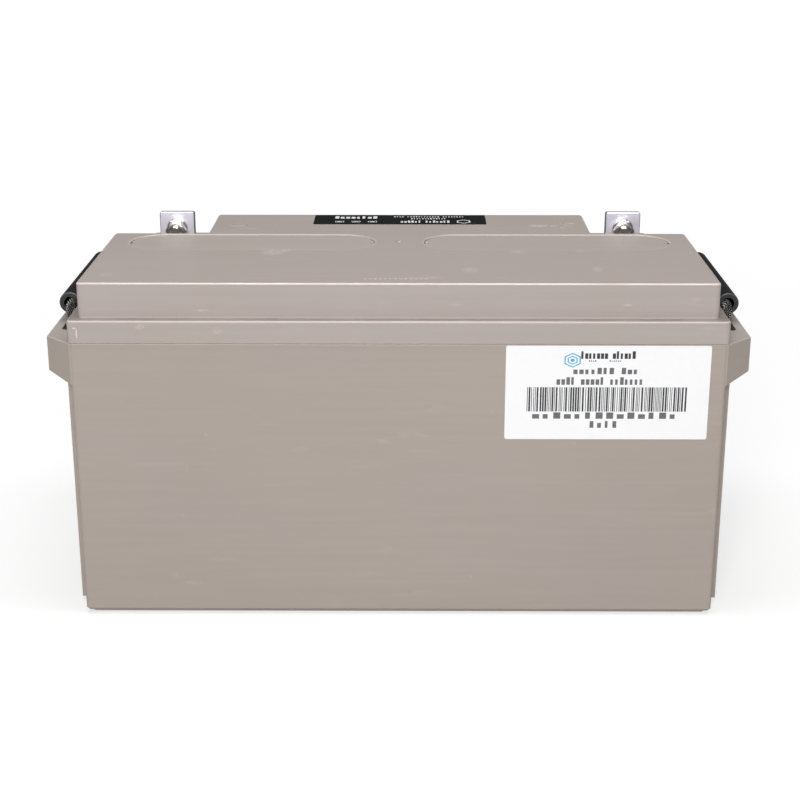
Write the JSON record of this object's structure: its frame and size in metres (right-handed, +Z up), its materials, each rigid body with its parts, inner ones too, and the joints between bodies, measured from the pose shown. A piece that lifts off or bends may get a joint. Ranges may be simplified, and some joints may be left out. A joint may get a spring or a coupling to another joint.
{
  "type": "deep cycle battery",
  "caption": "Sealed deep cycle battery in a grey-tan case with flag terminals, flush vent covers and a rope handle with a tube grip at each end.",
  "frame": {"origin": "middle of the base, on the surface that the battery stands on", "axes": "X along the long side, Y through the depth with the terminals at +Y, Z up"},
  "size_m": [0.35, 0.168, 0.182],
  "materials": {
    "case_plastic": "satin moulded plastic, grey-tan",
    "lid_plastic": "satin moulded plastic, grey-tan",
    "cover_plastic": "satin moulded plastic, grey-tan",
    "seam_sealant": "bonding resin squeezed out of the seam",
    "valve_rubber": "matt black rubber",
    "positive_plate": "dark brown pasted lead grid",
    "negative_plate": "grey pasted lead grid",
    "glass_mat": "white glass mat",
    "lead": "cast lead",
    "tinned_terminal": "tinned copper, satin",
    "terminal_seal": "sealing resin and rubber",
    "plated_steel": "bright zinc plated steel",
    "braided_rope": "black braided rope with light flecks",
    "grip_tube": "satin black tube",
    "white_label": "printed self-adhesive label, satin",
    "black_label": "printed self-adhesive label, gloss"
  },
  "bodies": {
    "battery": {"cell_connector_1": "lead", "cell_connector_2": "lead", "cell_connector_3": "lead", "cell_connector_4": "lead", "cell_connector_5": "lead", "container": "case_plastic", "front_label": "white_label", "lid": "lid_plastic", "lid_seal": "seam_sealant", "negative_bolt": "plated_steel", "negative_flat_washers": "plated_steel", "negative_nut": "plated_steel", "negative_plates_1": "negative_plate", "negative_plates_2": "negative_plate", "negative_plates_3": "negative_plate", "negative_plates_4": "negative_plate", "negative_plates_5": "negative_plate", "negative_plates_6": "negative_plate", "negative_seal": "terminal_seal", "negative_spring_washer": "plated_steel", "negative_terminal": "tinned_terminal", "positive_bolt": "plated_steel", "positive_flat_washers": "plated_steel", "positive_nut": "plated_steel", "positive_plates_1": "positive_plate", "positive_plates_2": "positive_plate", "positive_plates_3": "positive_plate", "positive_plates_4": "positive_plate", "positive_plates_5": "positive_plate", "positive_plates_6": "positive_plate", "positive_seal": "terminal_seal", "positive_spring_washer": "plated_steel", "positive_terminal": "tinned_terminal", "relief_valve_1": "valve_rubber", "relief_valve_2": "valve_rubber", "relief_valve_3": "valve_rubber", "relief_valve_4": "valve_rubber", "relief_valve_5": "valve_rubber", "relief_valve_6": "valve_rubber", "separators_1": "glass_mat", "separators_2": "glass_mat", "separators_3": "glass_mat", "separators_4": "glass_mat", "separators_5": "glass_mat", "separators_6": "glass_mat", "top_label": "black_label", "vent_cover_left": "cover_plastic", "vent_cover_right": "cover_plastic"},
    "left_rope_ends": {"left_rope_ends": "braided_rope"},
    "left_handle": {"left_rope_loop": "braided_rope"},
    "left_grip": {"left_grip": "grip_tube"},
    "right_rope_ends": {"right_rope_ends": "braided_rope"},
    "right_handle": {"right_rope_loop": "braided_rope"},
    "right_grip": {"right_grip": "grip_tube"}
  },
  "joints": [
    {"name": "left_handle_lift", "type": "slide", "parent": "battery", "child": "left_rope_ends", "axis": [0, 0, 1], "range_m": [0, 0.008]},
    {"name": "left_handle_swing", "type": "hinge", "parent": "left_rope_ends", "child": "left_handle", "pos_m": [-0.1654, 0.0025, 0.1465], "axis": [0, -1, 0], "range_deg": [0, 42]},
    {"name": "left_grip_spin", "type": "hinge", "parent": "left_handle", "child": "left_grip", "pos_m": [-0.1679, 0.0025, 0.1552], "axis": [0, 1, 0], "continuous": true},
    {"name": "right_handle_lift", "type": "slide", "parent": "battery", "child": "right_rope_ends", "axis": [0, 0, 1], "range_m": [0, 0.008]},
    {"name": "right_handle_swing", "type": "hinge", "parent": "right_rope_ends", "child": "right_handle", "pos_m": [0.1654, 0.0025, 0.1465], "axis": [0, 1, 0], "range_deg": [0, 42]},
    {"name": "right_grip_spin", "type": "hinge", "parent": "right_handle", "child": "right_grip", "pos_m": [0.1679, 0.0025, 0.1552], "axis": [0, 1, 0], "continuous": true}
  ]
}
